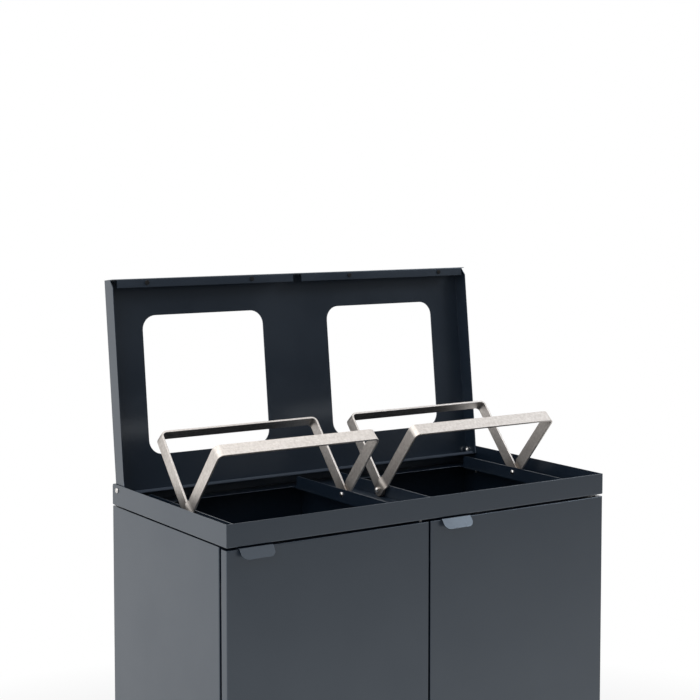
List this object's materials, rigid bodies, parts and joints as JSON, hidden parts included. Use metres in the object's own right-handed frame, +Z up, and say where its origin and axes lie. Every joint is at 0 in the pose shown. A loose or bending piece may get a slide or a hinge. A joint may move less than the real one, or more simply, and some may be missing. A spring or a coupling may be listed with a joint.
{
  "type": "double recycling bin",
  "caption": "Steel cabinet with hinged doors, an open tray with folding sack frames, and a lid with square windows standing open.",
  "frame": {"origin": "middle of the underside of everything, on the floor", "axes": "+Z up, +X to the right seen from the doors, +Y from the doors to the back"},
  "size_m": [0.8566, 0.4942, 1.3902],
  "materials": {
    "paint": "satin anthracite powder coat with a fine grain",
    "stainless": "brushed stainless steel",
    "zinc": "zinc-plated steel",
    "black_rubber": "matt black rubber",
    "black_plastic": "matt black nylon"
  },
  "bodies": {
    "cabinet": {"top_tray": "paint", "side_panel_left": "paint", "side_panel_right": "paint", "back_panel": "paint", "centre_post": "paint", "centre_divider": "paint", "base_pan": "paint", "bag_rail_left_1": "paint", "bag_rail_left_2": "paint", "bag_rail_right_1": "paint", "bag_rail_right_2": "paint", "pivot_bolt_left_1": "stainless", "pivot_bolt_left_2": "stainless", "pivot_bolt_right_1": "stainless", "pivot_bolt_right_2": "stainless", "pivot_nut_left_1": "stainless", "pivot_nut_left_2": "stainless", "pivot_nut_right_1": "stainless", "pivot_nut_right_2": "stainless", "lid_hinge_bolt_left": "stainless", "lid_hinge_bolt_right": "stainless", "lid_hinge_nut_left": "stainless", "lid_hinge_nut_right": "stainless", "tray_bolt_1": "zinc", "tray_bolt_2": "zinc", "tray_bolt_3": "zinc", "tray_bolt_4": "zinc", "door_pin_left_top": "zinc", "door_pin_left_foot": "zinc", "door_pin_right_top": "zinc", "door_pin_right_foot": "zinc", "foot_1": "black_plastic", "foot_2": "black_plastic", "foot_3": "black_plastic", "foot_4": "black_plastic", "tray_spacer_1": "black_plastic", "tray_spacer_2": "black_plastic", "tray_spacer_3": "black_plastic", "tray_spacer_4": "black_plastic", "catch_left": "black_plastic", "catch_right": "black_plastic", "pivot_washer_left_1": "black_plastic", "pivot_washer_left_2": "black_plastic", "pivot_washer_right_1": "black_plastic", "pivot_washer_right_2": "black_plastic"},
    "lid": {"lid": "paint", "lid_buffer_1": "black_rubber", "lid_buffer_2": "black_rubber", "lid_buffer_3": "black_rubber", "lid_buffer_4": "black_rubber"},
    "door_left": {"door_left": "paint", "door_pull_left": "paint"},
    "bag_frame_left_front": {"bag_frame_left_front": "stainless"},
    "bag_frame_left_rear": {"bag_frame_left_rear": "stainless"},
    "door_right": {"door_right": "paint", "door_pull_right": "paint"},
    "bag_frame_right_front": {"bag_frame_right_front": "stainless"},
    "bag_frame_right_rear": {"bag_frame_right_rear": "stainless"}
  },
  "joints": [
    {"name": "lid_hinge", "type": "hinge", "parent": "cabinet", "child": "lid", "pos_m": [0, 0.19306, 0.989], "axis": [1, 0, 0], "range_deg": [0, 45]},
    {"name": "door_left_hinge", "type": "hinge", "parent": "cabinet", "child": "door_left", "pos_m": [-0.015, -0.22194, 0.5], "axis": [0, 0, 1], "range_deg": [0, 95]},
    {"name": "door_right_hinge", "type": "hinge", "parent": "cabinet", "child": "door_right", "pos_m": [0.412, -0.22194, 0.5], "axis": [0, 0, 1], "range_deg": [0, 95]},
    {"name": "bag_frame_left_front_pivot", "type": "hinge", "parent": "cabinet", "child": "bag_frame_left_front", "pos_m": [-0.2125, -0.01244, 0.974], "axis": [1, 0, 0], "range_deg": [0, 50]},
    {"name": "bag_frame_left_rear_pivot", "type": "hinge", "parent": "cabinet", "child": "bag_frame_left_rear", "pos_m": [-0.2125, -0.01244, 0.974], "axis": [-1, 0, 0], "range_deg": [0, 49]},
    {"name": "bag_frame_right_front_pivot", "type": "hinge", "parent": "cabinet", "child": "bag_frame_right_front", "pos_m": [0.2125, -0.01244, 0.974], "axis": [1, 0, 0], "range_deg": [0, 50]},
    {"name": "bag_frame_right_rear_pivot", "type": "hinge", "parent": "cabinet", "child": "bag_frame_right_rear", "pos_m": [0.2125, -0.01244, 0.974], "axis": [-1, 0, 0], "range_deg": [0, 49]}
  ]
}
